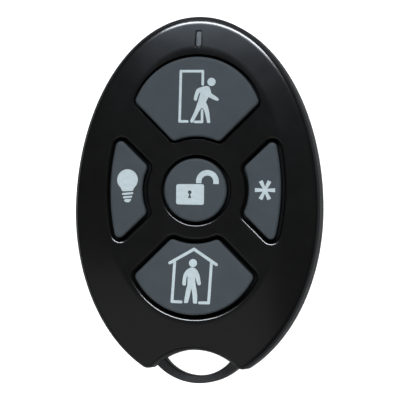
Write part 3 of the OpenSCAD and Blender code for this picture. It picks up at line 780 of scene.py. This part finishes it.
# Pad print ink: a pale cool grey, dull, slightly uneven where the pad let go.
pad_ink = grained(
    "pad_print_ink", "#7b8587", "#858f91",
    rough=(0.55, 0.65), patch=0.7, grain=0.06, depth=0.002, IOR=1.5,
)


def stroke(line, width):
    """Outlines of a line with round ends, one for each stretch."""
    made = []
    for a, b in zip(np.array(line), np.array(line)[1:]):
        turn = math.degrees(math.atan2(*(b - a)[::-1]))
        made.append(np.vstack([
            arc(b, width / 2, turn - 90, turn + 90, END_STEPS),
            arc(a, width / 2, turn + 90, turn + 270, END_STEPS),
        ]))
    return made


def patch(corners, radius):
    """A closed outline whose corners are rounded off."""
    corners, made = np.array(corners), []
    for c, b, a in zip(corners, np.roll(corners, 1, axis=0), np.roll(corners, -1, axis=0)):
        start = c + (b - c) * min(radius / np.linalg.norm(b - c), MOST_OF_SIDE)
        end = c + (a - c) * min(radius / np.linalg.norm(a - c), MOST_OF_SIDE)
        for t in np.linspace(0, 1, CURVE_STEPS):
            made.append((1 - t) ** 2 * start + 2 * t * (1 - t) * c + t * t * end)
    return np.array(made)


def print_sign(key, inked, bare=()):
    """Prints outlines on a key as one film, joined where they meet, with the bare outlines left out."""
    spots, edges = [], []
    for loop in (*inked, *bare):
        edges += [(len(spots) + i, len(spots) + (i + 1) % len(loop)) for i in range(len(loop))]
        spots += [Vector(p) for p in loop]
    made = geometry.delaunay_2d_cdt(spots, edges, [], 0, INK_WELD)
    plan = np.array([p[:] for p in made[0]])
    triangles = np.array(made[2])
    centres = plan[triangles].mean(axis=1)
    keep = np.any([inside(centres, loop) for loop in inked], axis=0)
    for loop in bare:
        keep &= ~inside(centres, loop)
    used, film = np.unique(triangles[keep], return_inverse=True)
    film = film.reshape(-1, 3).tolist()
    plan = plan[used]
    n = len(plan)
    z = field_height(plan[:, 1]) + KEY_PROUD
    points = np.vstack([np.column_stack([plan, z + INK_T]), np.column_stack([plan, z - INK_T])])
    ways = {(t[i], t[(i + 1) % 3]) for t in film for i in range(3)}
    faces = [tuple(t) for t in film] + [tuple(n + i for i in t[::-1]) for t in film]
    faces += [(a, a + n, b + n, b) for a, b in sorted(ways) if (b, a) not in ways]
    piece(key + "_sign", points.tolist(), faces, [pad_ink], key + "_button")


# A door frame, a head and a body
DOOR_LINE, LIMB_ROUND = 0.45, 0.2
print_sign("away", [
    *stroke([(-1.61, 13.71), (-2.96, 13.7), (-2.87, 22.52), (1.03, 22.54), (1.03, 20.23)], DOOR_LINE),
    *stroke([(0.99, 15.65), (1.02, 13.65), (-0.23, 13.64)], DOOR_LINE),
    arc([2.58, 20.67], 0.72, 0, 360, HEAD_STEPS)[:-1],
    patch([
        (1.8, 19.97), (2.2, 19.82), (2.43, 19.3), (2.55, 18.69), (3.69, 17.92), (3.99, 17.58), (3.68, 17.31),
        (2.63, 17.75), (2.11, 18.04), (1.63, 17.1), (2.02, 16.36), (2.28, 15.26), (2.5, 13.48), (1.93, 13.45),
        (1.65, 14.71), (1.32, 15.77), (0.93, 16.13), (0.61, 15.76), (-0.54, 13.64), (-0.82, 13.43),
        (-1.14, 13.74), (-0.26, 15.64), (0.34, 17.52), (0.68, 18.89), (0.4, 18.66), (0.01, 17.44),
        (-0.21, 17.27), (-0.55, 17.59), (-0.31, 18.65), (-0.07, 19.31), (0.24, 19.56), (1.25, 19.88),
    ], LIMB_ROUND),
])
# A roof, two walls, a head and a body
ROOF_LINE, WALL_LINE = 0.52, 0.5
print_sign("stay", [
    *stroke([(-4.28, -11.11), (-0.02, -8.66), (3.96, -11.31)], ROOF_LINE),
    *stroke([(-3.41, -10.87), (-3.78, -17.86), (-2.17, -17.92)], WALL_LINE),
    *stroke([(3.09, -10.99), (2.7, -18.01), (1.09, -18.01)], WALL_LINE),
    arc([-0.17, -11.09], 0.71, 0, 360, HEAD_STEPS)[:-1],
    patch([
        (-0.15, -11.84), (0.23, -11.99), (0.66, -12.4), (1.01, -13.15), (1.32, -14.77), (0.96, -15.03),
        (0.7, -14.87), (0.23, -13.41), (0.31, -14.58), (0.59, -16.08), (0.68, -17.08), (0.65, -18.19),
        (-0.05, -18.14), (-0.16, -16.68), (-0.39, -15.47), (-0.62, -16.68), (-0.98, -18.09), (-1.68, -18.08),
        (-1.32, -15.77), (-1.1, -14.93), (-1.08, -13.26), (-1.27, -13.6), (-1.39, -14.98), (-1.71, -15.08),
        (-2.03, -14.86), (-1.92, -13.69), (-1.74, -12.94), (-1.25, -12.26), (-0.58, -11.87),
    ], LIMB_ROUND),
])
# A lock body with a shackle, and a keyhole left bare
SHACKLE_C, SHACKLE_OUT, SHACKLE_IN = [2.14, 3.21], 2.01, 1.05
LOCK_ROUND, KEYHOLE_ROUND = 0.42, 0.05
print_sign("disarm", [
    patch([(-3.36, 2.7), (1.56, 2.74), (1.58, -0.89), (-3.34, -0.85)], LOCK_ROUND),
    np.vstack([
        arc(SHACKLE_C, SHACKLE_OUT, 0, 180, 40), [(0.13, 2.9), (1.06, 2.9)],
        arc(SHACKLE_C, SHACKLE_IN, 180, 0, 30), [(3.19, 2.78), (4.15, 2.78)],
    ]),
], [
    arc([-0.96, 1.3], 0.33, 0, 360, 24)[:-1],
    patch([
        (-1.07, 1.1), (-0.85, 1.1), (-0.85, 0.8), (-0.66, 0.28), (-1.26, 0.28), (-1.07, 0.8),
    ], KEYHOLE_ROUND),
])
# A glass bulb with its neck, and two turns of the cap with its foot
CAP_LINE, NECK_ROUND, FOOT_ROUND = 0.36, 0.25, 0.12
print_sign("light", [
    arc([-12.05, 3.39], 1.83, 0, 360, 64)[:-1],
    patch([
        (-13.62, 2.45), (-12.05, 3), (-10.48, 2.45), (-10.85, 2), (-11.04, 1.43), (-12.99, 1.33),
        (-13.2, 1.95),
    ], NECK_ROUND),
    *stroke([(-12.8, 0.87), (-11.15, 1.04)], CAP_LINE),
    *stroke([(-12.64, 0.28), (-11.33, 0.42)], CAP_LINE),
    patch([
        (-12.66, -0.25), (-12.4, 0), (-11.32, 0.02), (-11.4, -0.28), (-11.74, -0.56), (-12.3, -0.56),
    ], FOOT_ROUND),
])
# Six arms that widen outwards
STAR_C, ARM, ARM_ROOT, ARM_END, ARM_CORNER = np.array([12.33, 1.8]), 1.78, 0.22, 0.36, 0.06
star = []
for turn in (0, 64, 116, 180, 244, 296):
    along = np.array([math.cos(math.radians(turn)), math.sin(math.radians(turn))])
    across = np.array([-along[1], along[0]])
    star.append(patch([
        STAR_C + out * along + side * across
        for out, side in ((0, -ARM_ROOT), (ARM, -ARM_END), (ARM, ARM_END), (0, ARM_ROOT))
    ], ARM_CORNER))
print_sign("star", star)


# Camera, light and floor: a small studio with the fob on a light table. The camera has a long lens and looks
# nearly straight down on the face, turned a little to the right. Softboxes round the table light the gloss.

TILT_X, TILT_Y, ROLL = math.radians(8.82), math.radians(-1.38), math.radians(0.82)
DISTANCE, VIEW_WIDTH = 0.6, 0.0707  # in metres, like the places and sizes of the lamps and the floor
SENSOR = 36
AIM, SHIFT_UP, SHIFT_RIGHT = Vector((0, -0.2, 6.4)), 0.307, -0.057
back = Vector((math.sin(TILT_X), math.sin(TILT_Y), 1)).normalized()
level = Vector((0, 1, 0)).cross(back).normalized()
right = math.cos(ROLL) * level + math.sin(ROLL) * back.cross(level)
up = back.cross(right)
target = AIM * MM + (SHIFT_UP * up + SHIFT_RIGHT * right) * MM
lens = bpy.data.cameras.new("camera")
lens.lens = SENSOR * DISTANCE / VIEW_WIDTH
lens.clip_start, lens.clip_end = 0.05, 10
camera = bpy.data.objects.new("camera", lens)
camera.location = target + DISTANCE * back
camera.rotation_mode = "QUATERNION"
camera.rotation_quaternion = Matrix((right, up, back)).transposed().to_quaternion()
bpy.context.scene.collection.objects.link(camera)
bpy.context.scene.camera = camera

# A large softbox beyond the lamp end draws the bright line on the edge, and two dim ones grade the ends of
# the dome. A dim wall low behind the lamp end greys the rim there. A small fill close to the loop lifts the
# keys and the loop; it has a filter, so the gloss doesn't mirror it.
for name, spot, size, power, tint, mirrored in (
    ("softbox_top", (0.03, 0.775, 0.92), (1.06, 0.225), 28.5, "#f6faff", True),
    ("softbox_end", (-0.025, 0.285, 0.535), (0.42, 0.092), 0.48, "#c9ddf2", True),
    ("softbox_low", (-0.2, -0.36, 0.48), (0.86, 0.68), 0.48, "#ffffff", True),
    ("wall_end", (0.05, 0.8, 0.2), (0.8, 0.36), 0.8, "#eef4ff", True),
    ("fill_low", (0.0, -0.11, 0.13), (0.1, 0.08), 0.3, "#ffffff", False),
):
    lamp = bpy.data.lights.new(name, "AREA")
    lamp.shape = "RECTANGLE"
    lamp.size, lamp.size_y = size
    lamp.energy = power
    lamp.color = linear(tint)[:3]
    box = bpy.data.objects.new(name, lamp)
    box.location = spot
    box.visible_glossy = mirrored
    box.rotation_mode = "QUATERNION"
    out = (box.location - target).normalized()
    side = Vector((0, 1, 0)).cross(out).normalized()
    box.rotation_quaternion = Matrix((side, out.cross(side), out)).transposed().to_quaternion()
    bpy.context.scene.collection.objects.link(box)

# The room is dim beside the lamps.
ROOM_LIGHT = 0.05
world = bpy.data.worlds.new("studio")
world.use_nodes = True
world.node_tree.nodes["Background"].inputs["Color"].default_value = (1, 1, 1, 1)
world.node_tree.nodes["Background"].inputs["Strength"].default_value = ROOM_LIGHT
bpy.context.scene.world = world
bpy.context.scene.view_settings.view_transform = "Standard"

FLOOR = -0.02 * MM  # just clear of the rear cover, so that the two faces don't coincide
SPREAD = 2
corners = [(x * SPREAD, y * SPREAD, FLOOR) for x, y in ((-1, -1), (1, -1), (1, 1), (-1, 1))]
mesh = bpy.data.meshes.new("floor")
mesh.from_pydata(corners, [], [(0, 1, 2, 3)])
# Opal acrylic of a light table: matt, and lit from below so that it stays white where the fob shades it.
opal_acrylic = grained(
    "opal_acrylic", "#8e8e8e", "#949494", rough=(0.8, 0.9), patch=60.0, grain=1.0, depth=0.001,
    **{"Emission Color": linear("#ffffff"), "Emission Strength": 1.0},
)
mesh.materials.append(opal_acrylic)
floor = bpy.data.objects.new("floor", mesh)
bpy.context.scene.collection.objects.link(floor)
floor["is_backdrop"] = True

low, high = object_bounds()
